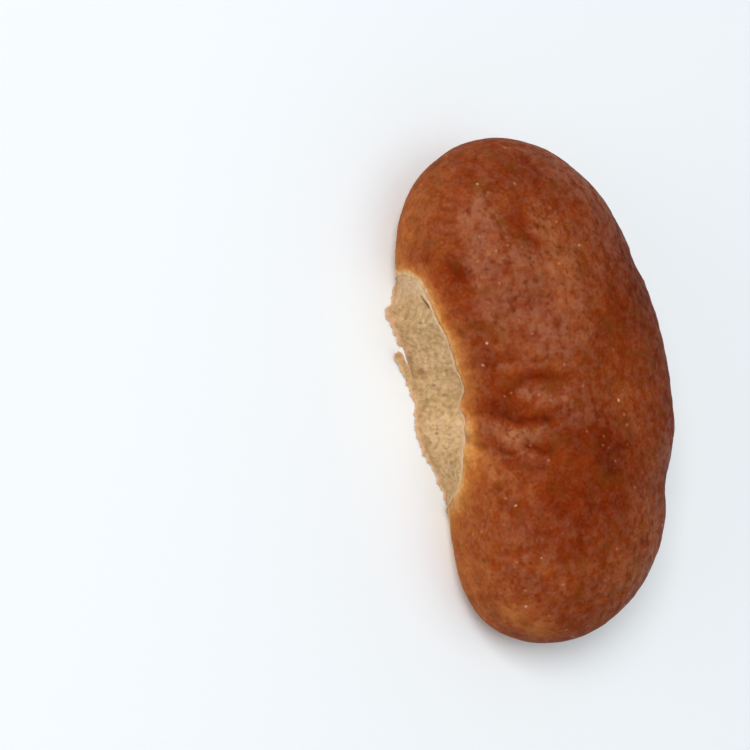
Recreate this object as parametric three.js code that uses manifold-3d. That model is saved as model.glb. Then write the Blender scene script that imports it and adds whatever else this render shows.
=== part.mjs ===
// A soft brown roll: one long, kidney-shaped roll of soft brown bread, lying on its flat base with its
// browned crust up. It was baked against a neighbour on its hollow side and torn from it, so that side is
// bare crumb below the torn edge of the crust. The roll is one closed solid.
//
// Millimetres, +Z up. X runs along the roll from its narrow end (-X) to its blunt end (+X), and the torn
// side faces -Y. A point of the surface is given by its station, the distance along the bent middle line,
// and by its place round the section there: across (-Y to +Y) and height above the base.
import * as THREE from "three";
import { mergeVertices } from "three/addons/utils/BufferGeometryUtils.js";
import Module from "manifold-3d";

// ---------------------------------------------------------------- whole roll
const HALF_LENGTH = 74.7; // middle to either tip, along the bent middle line
const BEND_RADIUS = 166.8; // of the middle line, which bends round the torn side
const HEIGHT = 48; // base to crown
const WAIST = 17; // height of the widest line
const OUTER_WIDTH = 40.5; // middle line to the far, untorn side
const INNER_WIDTH = 37.1; // middle line to the torn side, before the hollow
const TAPER = 0.046; // share by which the blunt half is slimmer at its tip
const DOME_ROUNDNESS = 2.2; // exponent of the section above the waist
const UNDER_ROUNDNESS = 3; // exponent of the section below the waist
const UNDER_DEPTH = 1.35; // the section would close this many waists below the waist, were there no base
const SUNK = 2; // how far the uncut form reaches below the base plane

// Exponents that round the two tips, [narrow end, blunt end].
const OUTER_TIPS = [2.24, 2.26];
const INNER_TIPS = [2.29, 2.14];
const HEIGHT_TIPS = [2.3, 2.6];
const TIP_LEAN = [2.9, 5.5]; // how far the tips lean to the torn side

// The side's own unevenness: station, how far it stands out, and its reach along the roll.
const OUTER_SWELLS = [
  { at: -50, by: 0.9, reach: 15 },
  { at: 0, by: 1.5, reach: 15 },
  { at: 25, by: -0.9, reach: 15 },
  { at: 50, by: 0.8, reach: 15 },
];
const INNER_SWELLS = [
  { at: 2, by: -6, reach: 26 },
  { at: 38, by: -1.4, reach: 6 },
  { at: 44, by: -2.2, reach: 14 },
];

// ---------------------------------------------------------------- torn side
const TEAR = { from: -48.8, middle: -5.5, to: 36.5, height: 23.4 };
const TEAR_ENDS = [6, 4]; // exponents of the crust's torn edge towards the narrow and the blunt end
const TEAR_DROPS = [4, 1.5];

// Rises and dips of that edge: station, how far it lies above the arch, and its reach along the roll.
const EDGE_SWELLS = [
  { at: -24, by: 2.4, reach: 9 },
  { at: 1, by: -5.7, reach: 4.5 },
  { at: 14, by: -3.4, reach: 9 },
];
const WALL = { from: -50.5, to: 41 }; // stations between which the side is a wall of crumb
const WALL_FADES = [9, 15]; // lengths over which the wall goes over into the rounded side

// Foot of the wall: places of [station, distance from the middle line], with straight runs between them.
const WALL_FEET = [
  [-50, 23.5], [-44, 27.2], [-41, 29.3], [-38, 30.8], [-30, 32.4], [-16, 31.8], [-3, 32], [6, 33.2],
  [11, 32.6], [16, 31], [20, 29.4], [24, 27.4], [30, 25], [36, 23.2], [41, 22.4],
];
const CRUST_LIP = 0.8; // the crust stands proud of the crumb along its torn edge
const LIP_DEPTH = 2; // height of the step below that edge
const CRAGS = [
  { cell: 8, by: 1.1 },
  { cell: 4.5, by: 0.9 },
];
const EDGE_WAVE = { cell: 7, by: 0.6 }; // ragged line of the torn edge

// Shreds of base skin that stick out at the foot of the wall: station, reach, half-width along the roll.
const SHREDS = [
  { at: -37.5, by: 2.2, reach: 1.8 },
  { at: -20.5, by: 2.8, reach: 2.4 },
  { at: -14, by: 1.6, reach: 4 },
];
const SHRED_HEIGHT = 3.5;

// ---------------------------------------------------------------- folds of the crust
// Each follows a path of [station, across] points on the dome; by is its depth (-) or height (+), width
// its half-width.
const FOLDS = [
  { by: -1.6, width: 2.4, path: [[4.5, -28.2], [7.6, -25.8], [9.2, -21]] }, // sharp crease from the tear
  { by: 1.5, width: 7, path: [[12, -27], [14, -20]] }, // swell beside it
  { by: -1.3, width: 2.8, path: [[-1, -25.5], [-5, -22], [-2, -13.5]] }, // hollow before the crease
  { by: 0.9, width: 4.2, path: [[2.5, -20.5], [4.5, -15]] }, // swell between the two
  { by: -1.1, width: 2.2, path: [[11, -32], [20, -28.5]] }, // slanting crease
  { by: -0.8, width: 2, path: [[17.4, -24], [15, -17.5]] }, // short crease
  { by: -0.7, width: 2, path: [[-11.5, -30], [-10.7, -20]] }, // wrinkle
  { by: -1, width: 4.5, path: [[30, -13], [27.5, 4], [29, 34]] }, // long shallow valley
  { by: 0.9, width: 7, path: [[15, 30], [17, 36]] }, // swell of the far side
  { by: -1.1, width: 3.6, path: [[-54, -8], [-42.5, -7]] }, // groove at the narrow end
  { by: 0.8, width: 7, path: [[-39, -5.5], [-20, -3]] }, // broad ridge
  { by: -0.9, width: 4, path: [[-30, 40], [-24, 30]] }, // shallow dent of the far side
];
const UNEVEN = { cell: 26, by: 1 }; // slow unevenness of the whole crust

// ---------------------------------------------------------------- mesh
const STATIONS = 84;
const INNER_COLUMNS = 10; // base to the torn edge
const DOME_COLUMNS = 30; // torn edge over the crown to the outer waist
const OUTER_COLUMNS = 7; // outer waist to the base
const BASE_COLUMNS = 5;
const COLUMNS = INNER_COLUMNS + DOME_COLUMNS + OUTER_COLUMNS + BASE_COLUMNS;
const LOWEST_SHARE = 0.985; // a section that ends above the base plane closes here
const CUT_SIZE = 400; // side of the block that cuts the base flat
const CRUST_COLOUR = 0x85421f;
const CRUST_ROUGHNESS = 0.55;

const mix = (a, b, share) => a + (b - a) * share;
const clamp01 = (x) => Math.min(1, Math.max(0, x));
const smooth = (x) => clamp01(x) ** 2 * (3 - 2 * clamp01(x));
const bell = (distance, reach) => Math.exp(-((distance / reach) ** 2));

// A number from 0 to 1 that only the two whole numbers i and j decide.
function latticeValue(i, j) {
  const mixed = Math.sin(i * 127.1 + j * 311.7) * 43758.5453;
  return mixed - Math.floor(mixed);
}

// Smooth unevenness from -1 to 1: lattice values one cell apart, blended between their four neighbours.
function unevenness(x, y) {
  const [i, j] = [Math.floor(x), Math.floor(y)];
  const [u, v] = [smooth(x - i), smooth(y - j)];
  const low = mix(latticeValue(i, j), latticeValue(i + 1, j), u);
  const high = mix(latticeValue(i, j + 1), latticeValue(i + 1, j + 1), u);
  return 2 * mix(low, high, v) - 1;
}

// Share of the full width or height left at a station: 1 in the middle, 0 at the tips.
function tipShare(share, [narrow, blunt]) {
  const exponent = share < 0 ? narrow : blunt;
  return (1 - Math.min(1, Math.abs(share)) ** exponent) ** (1 / exponent);
}

const swellAt = (swells, station) =>
  swells.reduce((sum, { at, by, reach }) => sum + by * bell(station - at, reach), 0);

// Height of the torn edge of the crust: a long arch, lower towards the blunt end; 0 past its two ends.
function tornEdge(station) {
  const half = station < TEAR.middle ? TEAR.middle - TEAR.from : TEAR.to - TEAR.middle;
  const end = station < TEAR.middle ? 0 : 1;
  const share = Math.min(1, Math.abs(station - TEAR.middle) / half);
  const arch = (1 - share ** TEAR_ENDS[end]) ** (1 / TEAR_DROPS[end]);
  const wave = EDGE_WAVE.by * unevenness(station / EDGE_WAVE.cell, 0.5) + swellAt(EDGE_SWELLS, station);
  return TEAR.height * arch + wave * smooth(arch * 2);
}

// Distance from the middle line to the foot of the wall.
function wallFoot(station) {
  const after = WALL_FEET.findIndex(([at]) => at > station);
  if (after < 1) return WALL_FEET.at(after)[1];
  const [[from, near], [to, far]] = [WALL_FEET[after - 1], WALL_FEET[after]];
  return mix(near, far, (station - from) / (to - from));
}

// 1 along the wall of crumb, 0 where the side is still rounded.
const tornShare = (station) =>
  smooth((station - WALL.from) / WALL_FADES[0]) * smooth((WALL.to - station) / WALL_FADES[1]);

// Half-widths and half-heights of the section at a station.
function sectionAt(station) {
  const share = station / HALF_LENGTH;
  const slimmer = 1 - TAPER * share;
  const outerTip = tipShare(share, OUTER_TIPS);
  const innerTip = tipShare(share, INNER_TIPS);
  const heightTip = tipShare(share, HEIGHT_TIPS);
  const lean = share < 0 ? TIP_LEAN[0] : TIP_LEAN[1];
  return {
    outer: outerTip * (OUTER_WIDTH * slimmer + swellAt(OUTER_SWELLS, station)),
    inner: innerTip * (INNER_WIDTH * slimmer + swellAt(INNER_SWELLS, station)),
    top: (HEIGHT - WAIST) * heightTip,
    under: WAIST * UNDER_DEPTH * heightTip,
    aside: -lean * share ** 4,
  };
}

// Point of the section at a share of its height: 1 crown, 0 waist, -1 the lowest point of the full form.
function sidePoint(width, section, share) {
  const exponent = share < 0 ? UNDER_ROUNDNESS : DOME_ROUNDNESS;
  const reach = share < 0 ? section.under : section.top;
  const across = width * Math.max(0, 1 - Math.abs(share) ** exponent) ** (1 / exponent);
  return [across, WAIST + reach * share];
}

// Point of the section at an angle: 0 outer waist, half a turn the inner waist.
function archPoint(section, angle) {
  const [c, s] = [Math.cos(angle), Math.sin(angle)];
  const exponent = s < 0 ? UNDER_ROUNDNESS : DOME_ROUNDNESS;
  const width = c < 0 ? section.inner : section.outer;
  const reach = s < 0 ? -section.under : section.top;
  return [
    Math.sign(c) * width * Math.abs(c) ** (2 / exponent),
    WAIST + reach * Math.abs(s) ** (2 / exponent),
  ];
}

// The ring of a section, before folds and crags, at column 0 to COLUMNS: from the inner base edge up to
// the torn edge, over the crown, down the outer side and back along the base. Columns are even in height
// on the two sides and even in angle over the dome, and one column follows the torn edge.
function ringPoint(station, section, column) {
  const lowest = -Math.min(LOWEST_SHARE, (WAIST + SUNK) / Math.max(section.under, SUNK));
  const rise = Math.max(tornEdge(station), WAIST / 2) - WAIST;
  const edgeShare = rise < 0 ? rise / (WAIST * UNDER_DEPTH) : rise / (HEIGHT - WAIST);
  if (column <= INNER_COLUMNS) {
    const [across, height] = sidePoint(
      section.inner, section, mix(lowest, edgeShare, column / INNER_COLUMNS),
    );
    return [-across, height];
  }
  const onDome = column - INNER_COLUMNS;
  if (onDome <= DOME_COLUMNS) {
    const exponent = edgeShare < 0 ? UNDER_ROUNDNESS : DOME_ROUNDNESS;
    const start = Math.PI - Math.sign(edgeShare) * Math.asin(Math.abs(edgeShare) ** (exponent / 2));
    return archPoint(section, mix(start, 0, onDome / DOME_COLUMNS));
  }
  const onOuter = onDome - DOME_COLUMNS;
  if (onOuter <= OUTER_COLUMNS) {
    return sidePoint(section.outer, section, (lowest * onOuter) / OUTER_COLUMNS);
  }
  const onBase = (onOuter - OUTER_COLUMNS) / BASE_COLUMNS;
  const [outerFoot, height] = sidePoint(section.outer, section, lowest);
  const [innerFoot] = sidePoint(section.inner, section, lowest);
  return [mix(outerFoot, -innerFoot, onBase), height];
}

// Distance from a point to a path of straight stretches.
function distanceToPath(point, path) {
  const line = new THREE.Line3();
  const nearest = new THREE.Vector3();
  const from = new THREE.Vector3(...point, 0);
  let least = Infinity;
  for (let i = 1; i < path.length; i += 1) {
    line.set(new THREE.Vector3(...path[i - 1], 0), new THREE.Vector3(...path[i], 0));
    line.closestPointToPoint(from, true, nearest);
    least = Math.min(least, nearest.distanceTo(from));
  }
  return least;
}

// How far the crust stands out at a place of the dome, fading out towards the base.
function crustRelief(station, across, height) {
  const folds = FOLDS.reduce(
    (sum, { by, width, path }) => sum + by * bell(distanceToPath([station, across], path), width), 0,
  );
  const slow = UNEVEN.by * unevenness(station / UNEVEN.cell, (across + height) / UNEVEN.cell);
  return (folds + slow) * smooth(height / WAIST);
}

// How far the torn crumb stands out at a height below the torn edge: stepped in under the lip of crust,
// then crags, and shreds of skin at its foot.
function crumbRelief(station, height, edge) {
  const crags = CRAGS.reduce(
    (sum, { cell, by }) => sum + by * unevenness(station / cell, height / cell + cell), 0,
  );
  const shreds = swellAt(SHREDS, station) * bell(Math.max(0, height), SHRED_HEIGHT);
  return (crags - CRUST_LIP) * smooth((edge - height) / LIP_DEPTH) + shreds;
}

// A point of the roll's whole form, still reaching below the base plane. Below the torn edge the side is
// drawn out to a wall that runs straight from that edge to its foot.
function rollPoint(u, v, target) {
  const station = HALF_LENGTH * Math.sin((v - 0.5) * Math.PI);
  const section = sectionAt(station);
  const column = u * COLUMNS;
  let [across, height] = ringPoint(station, section, column);
  const edge = tornEdge(station);
  let relief = crustRelief(station, across, height) * tipShare(station / HALF_LENGTH, OUTER_TIPS);
  if (column <= INNER_COLUMNS && height < edge) {
    const wall = mix(section.inner, wallFoot(station), clamp01(1 - height / edge));
    across = mix(across, -wall, tornShare(station));
    relief = relief * smooth(height / edge) + crumbRelief(station, height, edge);
  }
  const out = new THREE.Vector2(across, Math.max(0, height - WAIST)).normalize();
  across += relief * out.x;
  height += relief * out.y;
  const radius = BEND_RADIUS + across + section.aside;
  const turn = station / BEND_RADIUS;
  return target.set(radius * Math.sin(turn), radius * Math.cos(turn) - BEND_RADIUS, height);
}

// The whole form: a ball whose rings are the sections and whose poles are the two tips.
function uncutRoll() {
  const ball = new THREE.SphereGeometry(1, COLUMNS, STATIONS);
  const { position, uv } = ball.attributes;
  const point = new THREE.Vector3();
  for (let i = 0; i < position.count; i += 1) {
    const round = i % (COLUMNS + 1);
    const along = 1 - uv.getY(i);
    rollPoint((round % COLUMNS) / COLUMNS, along, point);
    position.setXYZ(i, point.x, point.y, point.z);
  }
  return ball;
}

function solidOf(wasm, geometry) {
  geometry.deleteAttribute("normal");
  geometry.deleteAttribute("uv");
  const merged = mergeVertices(geometry, 1e-3);
  const shape = new wasm.Mesh({
    numProp: 3,
    vertProperties: merged.attributes.position.array,
    triVerts: new Uint32Array(merged.index.array),
  });
  return new wasm.Manifold(shape);
}

function geometryOf(solid) {
  const { vertProperties, triVerts } = solid.getMesh();
  const geometry = new THREE.BufferGeometry();
  geometry.setAttribute("position", new THREE.BufferAttribute(vertProperties, 3));
  geometry.setIndex(new THREE.BufferAttribute(triVerts, 1));
  geometry.computeVertexNormals();
  return geometry;
}

const wasm = await Module();
wasm.setup();

// The flat base is what the pan left: everything below the base plane is cut away.
const belowBase = new THREE.BoxGeometry(CUT_SIZE, CUT_SIZE, CUT_SIZE).translate(0, 0, -CUT_SIZE / 2);
const cutRoll = geometryOf(solidOf(wasm, uncutRoll()).subtract(solidOf(wasm, belowBase)));

// The part's origin is the middle of the roll's outline, on the base plane.
cutRoll.computeBoundingBox();
const middle = cutRoll.boundingBox.getCenter(new THREE.Vector3());
cutRoll.translate(-middle.x, -middle.y, 0);

const crust = new THREE.MeshStandardMaterial({
  color: CRUST_COLOUR,
  roughness: CRUST_ROUGHNESS,
  metalness: 0,
});
const roll = new THREE.Mesh(cutRoll, crust);
roll.name = "roll";

const softBrownRoll = new THREE.Group();
softBrownRoll.add(roll);

export default softBrownRoll;
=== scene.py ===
"""A soft brown roll on a pale floor: a kidney-shaped roll with a satin browned crust, torn open along its
hollow side, where the crumb shows below the ragged edge of the crust.

Sizes are in millimetres and MM turns them into metres. X runs along the roll from its narrow end to its
blunt end, -Y is the torn side and +Z is up. A place on the roll is given by its station, the distance
along the bent middle line, and by its place in the section there: across and height.
"""

import math
from types import SimpleNamespace

import bpy
import numpy as np
from mathutils import Matrix, Vector


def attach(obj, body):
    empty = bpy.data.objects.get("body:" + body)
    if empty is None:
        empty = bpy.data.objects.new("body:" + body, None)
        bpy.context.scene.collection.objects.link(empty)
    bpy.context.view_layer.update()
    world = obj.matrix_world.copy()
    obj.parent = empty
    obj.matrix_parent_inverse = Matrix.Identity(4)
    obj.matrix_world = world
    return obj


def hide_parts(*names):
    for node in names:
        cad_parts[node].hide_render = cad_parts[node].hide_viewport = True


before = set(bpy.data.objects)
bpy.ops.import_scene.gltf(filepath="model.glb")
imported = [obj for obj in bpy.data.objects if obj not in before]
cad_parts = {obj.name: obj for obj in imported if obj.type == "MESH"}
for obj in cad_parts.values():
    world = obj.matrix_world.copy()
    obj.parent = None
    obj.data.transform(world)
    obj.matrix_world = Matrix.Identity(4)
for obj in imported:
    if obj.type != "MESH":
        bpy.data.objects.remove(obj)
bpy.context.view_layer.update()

MM = 0.001

# ---- form of the whole roll
HALF_LENGTH = 74.7
BEND_RADIUS = 166.8
HEIGHT = 48
WAIST = 17
OUTER_WIDTH = 40.5
INNER_WIDTH = 37.1
TAPER = 0.046
DOME_ROUNDNESS = 2.2
UNDER_ROUNDNESS = 3
UNDER_DEPTH = 1.35
OUTER_TIPS = (2.24, 2.26)
INNER_TIPS = (2.29, 2.14)
HEIGHT_TIPS = (2.3, 2.6)
TIP_LEAN = (2.9, 5.5)
LOWEST_SHARE = 0.985
ORIGIN = np.array([-0.7, 2.03, 0.0])  # middle of the roll's outline, measured from the bend's start

# Swells of the sides: station, how far it stands out, reach along the roll.
OUTER_SWELLS = ((-50, 0.9, 15), (0, 1.5, 15), (25, -0.9, 15), (50, 0.8, 15))
INNER_SWELLS = ((2, -6, 26), (38, -1.4, 6), (44, -2.2, 14))

# ---- torn side
TEAR_FROM = -48.8
TEAR_MIDDLE = -5.5
TEAR_TO = 36.5
TEAR_HEIGHT = 23.4
TEAR_ENDS = (6, 4)
TEAR_DROPS = (4, 1.5)
EDGE_LEAST = 0.5  # height of the torn edge beyond the tear, for what is measured by it
EDGE_SWELLS = ((-24, 2.4, 9), (1, -4.2, 4), (14, -3.4, 9))
WALL_FROM = -50.5
WALL_TO = 41
WALL_FADES = (9, 15)
# Foot of the wall: stations and its distance from the middle line there, with straight runs between.
WALL_FEET = (
    (-50, -44, -41, -38, -30, -16, -3, 6, 11, 16, 20, 24, 30, 36, 41),
    (23.5, 27.2, 29.3, 30.8, 32.4, 31.8, 32, 33.2, 32.6, 31, 29.4, 27.4, 25, 23.2, 22.4),
)
LIP_DEPTH = 2  # height below the edge over which the crumb steps back
CRAGS = ((8, 0.9), (4.5, 0.5))  # size, how far they stand out
EDGE_WAVES = ((7, 0.6, 0.5), (2.3, 0.4, 3.5), (0.9, 0.2, 9.5))  # size, height, row of the noise
SHREDS = ((-37.5, 2.2, 1.8), (-12, 1.6, 3))  # station, how far it stands out, reach
SHRED_HEIGHT = 3.5
BED_DEPTH = 3.2  # the crust's own surface lies this far behind the crumb
BED_EASE = 0.9  # height over which the crust turns in under its torn edge
BED_FADES = (2.5, 5)  # the bed fades out this near the two ends of the tear
REST_SHARES = (-0.15, -0.4)  # where the edge's column of points runs past the ends of the tear
REST_CHANGES = (-20, 50)  # station where it goes from the one to the other, and over what length
OUTLINE_POINTS = 90  # of the line round the tear
OUTLINE_INSET = 0.05  # of the line's ends from the ends of the tear

# ---- folds of the crust
# Folds, stains and skins follow paths of (station, across) points. These paths, by the notch in the torn
# edge, serve more than once.
DEEP_CREASE = ((3.2, -30.5), (4.8, -28.6), (6.4, -26.8), (8.2, -25), (9, -23), (9.1, -21), (8.8, -19))
CRESCENT = ((-1, -26.2), (-3, -24.5), (-4.8, -22.8), (-5.6, -20.5), (-4.8, -18), (-2.4, -13))
NOTCH_HOLLOW = ((0.5, -29.5), (2.5, -26.5), (4.5, -24))
SHORT_CREASE = ((16.8, -23.6), (18, -21.6), (18.6, -19.3))
HOOKED_CREASE = ((17.2, -28.6), (18.6, -26.8), (17.8, -24.8))
LAST_CREASE = ((21.6, -28), (22.6, -25.1), (23.6, -21.4))
NARROW_LOBE = ((18.6, -30), (20.2, -27.6), (19.8, -25.6), (18.6, -23.6))
SMALL_LOBE = ((21, -22.4), (21.6, -20.6))

# Height (+) or depth (-), half-width, and the path that it follows.
FOLDS = (
    (-1.6, 2.4, ((4.5, -28.2), (7.6, -25.8), (9.2, -21))),
    (1.5, 7, ((12, -27), (14, -20))),
    (-1.3, 2.8, ((-1, -25.5), (-5, -22), (-2, -13.5))),
    (0.9, 4.2, ((2.5, -20.5), (4.5, -15))),
    (-1.1, 2.2, ((11, -32), (20, -28.5))),
    (-0.8, 2, ((17.4, -24), (15, -17.5))),
    (-0.7, 2, ((-11.5, -30), (-10.7, -20))),
    (-1, 4.5, ((30, -13), (27.5, 4), (29, 34))),
    (0.9, 7, ((15, 30), (17, 36))),
    (-1.1, 3.6, ((-54, -8), (-42.5, -7))),
    (0.8, 7, ((-39, -5.5), (-20, -3))),
    (-0.9, 4, ((-30, 40), (-24, 30))),
)
# Finer folds, which only the skin of the crust has.
WRINKLES = (
    (-0.8, 1.1, DEEP_CREASE),
    (0.6, 1.8, ((7, -31.5), (10, -28.4), (11.8, -25.5), (12.2, -22.5), (12.2, -20))),
    (-0.6, 1.6, CRESCENT),
    (0.7, 2.2, ((0.6, -23), (0.8, -19.5), (2, -16.5), (3, -14))),
    (0.3, 1.2, ((-10.5, -27), (-9.8, -23), (-9, -19.5))),
    (0.4, 2.2, ((12.5, -23), (14.5, -19.5))),
    (-0.6, 1, SHORT_CREASE),
    (-0.3, 0.8, HOOKED_CREASE),
    (0.5, 0.9, NARROW_LOBE),
    (0.4, 0.9, SMALL_LOBE),
    (-0.5, 1.2, LAST_CREASE),
    (0.5, 1.1, ((15.8, -31.1), (19.3, -30.2), (26.5, -29.4))),
    (-0.55, 1, ((13, -31), (14.3, -30.4), (22.2, -30.8))),
    (-0.3, 1.6, ((-55.3, -5.8), (-48, -9.6), (-43.6, -8.1), (-40.1, -5.5))),
    (0.3, 3.2, ((-49.3, 0.5), (-42.3, -1.6), (-35.1, -4.8), (-24.9, -6.7), (-16.2, -8))),
    (-0.35, 0.8, ((-43.6, -20.2), (-42.9, -22.4), (-41.5, -24))),
    (-0.35, 0.8, ((-42.4, -25.8), (-40.2, -26.6))),
    (-0.4, 0.8, ((-27.9, -21.6), (-28.4, -16.3))),
    (-0.35, 0.8, ((-24.9, -25.9), (-23.4, -24.6))),
    (-0.4, 1, ((-22.4, -23.6), (-21.2, -21.4))),
    (-0.4, 0.9, ((-12, -29), (-11.2, -24), (-10.6, -20.2))),
    (0.3, 1.2, ((-9.6, -28), (-9, -23))),
    (-0.3, 0.8, ((28, -29.5), (31, -27))),
    (0.3, 1.2, ((30, 10), (33, 15), (41, 20))),
    (0.3, 1, ((45.5, 14), (47.5, 24))),
    (0.3, 1.1, ((66.3, -3.1), (62.5, 4), (57.6, 12.4))),
    (-0.35, 1.1, ((68, -3), (64.3, 4.6), (59.5, 13))),
)
WRINKLES_STRAY = (0.8, 4, 24)  # how far they stray from their paths, size and seed of the noise
UNEVEN = (26, 1)  # slow unevenness of the whole crust: size, height
# Lumps of the crust's skin, then its coarse and its fine creases: height or depth, size, seed of the noise.
LEATHER_LUMPS = ((0.26, 8.5, 11), (0.15, 4, 12), (0.07, 2.1, 13))
COARSE_CREASES = (0.16, 4.6, 14)
FINE_CREASES = (0.08, 2.2, 15)
CREASES_STRAY = (1.6, 6, 21)
CREASED_SHARE = 0.6  # 0.5 would leave half of the crust without coarse creases
CREASED_PATCHES = (14, 16)  # size and seed of the noise
FINE_FADE = 4  # height above the base over which the fine relief grows

# ---- colour of the crust
BROWN = 0.63  # the dome's, on a scale from 0, pale skin, to 1, the darkest brown
GOLDEN = (0.33, 4.4, 1.4)  # by the torn edge: how much paler, reach, how much wider at the blunt end
GOLDEN_WIDENS = (-15, 20)  # station where it starts to widen, and over what length
GOLDEN_WAVER = (1.2, 7, 5)  # of its reach: how much, size and seed of the noise
EDGE_LINE = (0.14, 1.1)  # right along the torn edge: how much paler, reach
INNER_LOW = (0.2, 22, 18)  # low on the sides: how much paler, below what height, over what height
OUTER_LOW = (0.26, 19, 15)
PALE_FOOT = (0.34, 6, 5)
FOOT_WAVER = (2, 11, 6)
SLOW_PATCHES = ((0.03, 17, 3), (0.04, 7, 4))
# Stains, and painted shade along the creases and valleys and painted highlights on the bulges and the ridge:
# how much browner or darker (+) or paler (-), reach, and path.
STAINS_AND_PAINTED_LIGHT = (
    (0.2, 3.4, ((-46.5, -27.5), (-44, -28))),
    (0.09, 3.4, ((-38, -28), (-24, -28.5), (-10, -28))),
    # Along the creases and the notch's hollow: painted shade.
    (0.12, 1.7, CRESCENT),
    (0.1, 2.4, NOTCH_HOLLOW),
    (0.26, 1.4, DEEP_CREASE[1:]),
    (0.2, 1.2, SHORT_CREASE),
    (0.08, 0.7, HOOKED_CREASE),
    (0.12, 1.6, LAST_CREASE),
    # Paler on the bulges and along the ridge, as painted highlights, and darker in the valley beside the
    # ridge, as painted shade.
    (-0.02, 2.6, ((6.5, -33), (11, -30.5), (14, -28))),
    (-0.11, 2.2, ((11.5, -27.5), (13.2, -25), (13, -22))),
    (-0.08, 3, ((-49.3, 0.2), (-44.5, -1.5))),
    (-0.04, 4, ((-42.3, -2.5), (-35.1, -4.8), (-24.9, -6.7), (-16.2, -8))),
    (0.12, 3, ((-52, -7.5), (-46, -9))),
    (-0.08, 9, ((-70, -17), (-65, -23))),
    (0.08, 12, ((-40, 16), (-15, 20))),
    (0.14, 9, ((15, -12), (22, -4))),
    (0.1, 8, ((16, 0), (28, 5))),
    (0.14, 9, ((39, -14), (37, -2))),
    (0.14, 10, ((-35, 26), (-5, 28), (25, 30))),
    (0.1, 7, ((-66, -4), (-62, 6))),
    (0.08, 6, ((-29, -16), (-22, -12))),
    (0.06, 8, ((50, -6), (60, 2))),
    (-0.17, 7.5, ((38, -31), (48, -30), (59, -26))),
    (-0.18, 2.8, ((10, -32), (18, -31.2), (26, -29.8))),
    (-0.1, 3, ((-14, -34), (-2, -34.5))),
    (-0.19, 5.5, ((70, -12), (73, -3))),
    (0.06, 7, ((-60, 8), (-55, 14))),
    (0.06, 7, ((-24, 9), (-14, 11))),
)
# Pale skin over the browned crust, which also stands for painted sheen and highlights on the lit slopes,
# bulges and rims, while less of it stands for painted shade in the creases: how much more (+) or less (-) of
# it, reach, and path.
SKINS_AND_SHEEN = (
    # The upper dome and the ridge: painted sheen.
    (0.5, 5.5, ((-58, -16), (-52, -20), (-46, -23.5), (-36, -24), (-27, -24))),
    (0.3, 8, ((-44, -3), (-28, -3), (-16, -5))),
    (0.3, 6, ((-20, -18), (-14, -16))),
    (0.35, 7, ((-58, -10), (-50, -14), (-38, -14), (-28, -12))),
    # Rims of the outer side: painted greyish sheen.
    (0.4, 8, ((-60, 18), (-44, 26), (-36, 17))),
    (0.4, 8, ((22, 26), (34, 16), (48, 23), (58, 10))),
    (0.3, 4, ((-4, 36), (8, 37))),
    # Bulges and lobes beside the creases: painted highlights.
    (0.55, 2.4, ((0.6, -22.6), (0.8, -19.5), (2, -16.5), (3, -14))),
    (0.5, 2, ((9, -30), (11, -28), (12.6, -25.5), (13, -22.5), (12.6, -20.5))),
    (0.4, 2, ((14, -27), (14.8, -24.5), (14, -21))),
    (0.45, 0.9, NARROW_LOBE),
    (0.5, 1, SMALL_LOBE),
    (0.35, 1.4, ((-10.5, -27), (-9.8, -23), (-9, -19.5))),
    (0.3, 1.4, ((20, -31), (25, -29.6), (28, -27.6))),
    (0.2, 6, ((9, -12), (12, -4))),
    (0.15, 8, ((66, -10), (50, -20))),
    (-0.6, 4, ((-48, -28), (-41, -28.5))),
    # The valley beside the ridge and the creases: painted shade.
    (-0.4, 3.5, ((-56, -8), (-48, -9.6), (-43, -8))),
    (-0.35, 1.9, CRESCENT),
    (-0.75, 1.8, DEEP_CREASE),
    (-0.3, 2, NOTCH_HOLLOW),
    (-0.3, 1.4, SHORT_CREASE),
    (-0.3, 7, ((16, -6), (26, -12), (32, -15))),
    (-0.2, 7, ((-18, 4), (-6, 8))),
    (-0.25, 7, ((22, -33), (34, -38), (46, -38))),
)
SKIN_AND_SHEEN_SHARE = 0.15  # everywhere on the crust
SKINS_AND_SHEEN_STRAY = (1.2, 5, 27)
OUTER_SKIN_AND_SHEEN = 0.12  # how much more on the outer side, a painted greyish sheen along its rims
OUTER_SKIN_AND_SHEEN_BEGINS = (4, 26)  # from what across, and over what width
SKINLESS_FOOT = (2, 12)  # no skin or sheen below this height, and all of it this much above
# Pale flecks and dark pits that stand alone: (station, across) places.
BRIGHT_FLECKS = ((-12, -29.6), (-62.5, -25.1))
FLECKS = (
    (-18.1, -18.7), (0, -26.6), (-0.8, -25.4), (3.4, -17.6), (14.3, -8.7), (16.2, -3.1), (18.7, -3.8),
    (16.9, -23.2), (59.1, -24.1), (68.9, -5.7), (72.4, -12.3), (23.4, 0.9),
)
PITS = (
    (-45.2, 0.5), (-58.7, -12.3), (-60.6, -15.8), (-38.5, -10.9), (-43.6, -20.4), (-42, -22.5),
    (-43.1, -25.8), (-24.9, -25.9), (-6.2, 7.3), (-50.9, 22.9), (-28.9, 22.9), (-24.6, 19.3), (-5.9, 25.2),
    (10.4, -4.3), (41, -10.6), (40.4, -17.9), (42.8, -27.1), (49.7, 18.4), (61, 15.3), (63.9, 3.9),
    (70.1, -2.1), (58.7, -22.2), (26.5, 24.3), (36.2, 1.4), (51.9, -2.4),
)
DOT_REACH = 0.55
DIM_SHARE = 0.5  # how far the other flecks stand out, next to the bright ones
FLECK_HEIGHT = 0.15
PIT_DEPTH = 0.25
# Painted shade in the crust's valleys: how much darker for each millimetre of depth, and the share of a broad
# fold that counts.
WRINKLE_SHADE = 0.6
CREASE_SHADE = 1.2
FOLD_SHARE = 0.3
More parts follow.
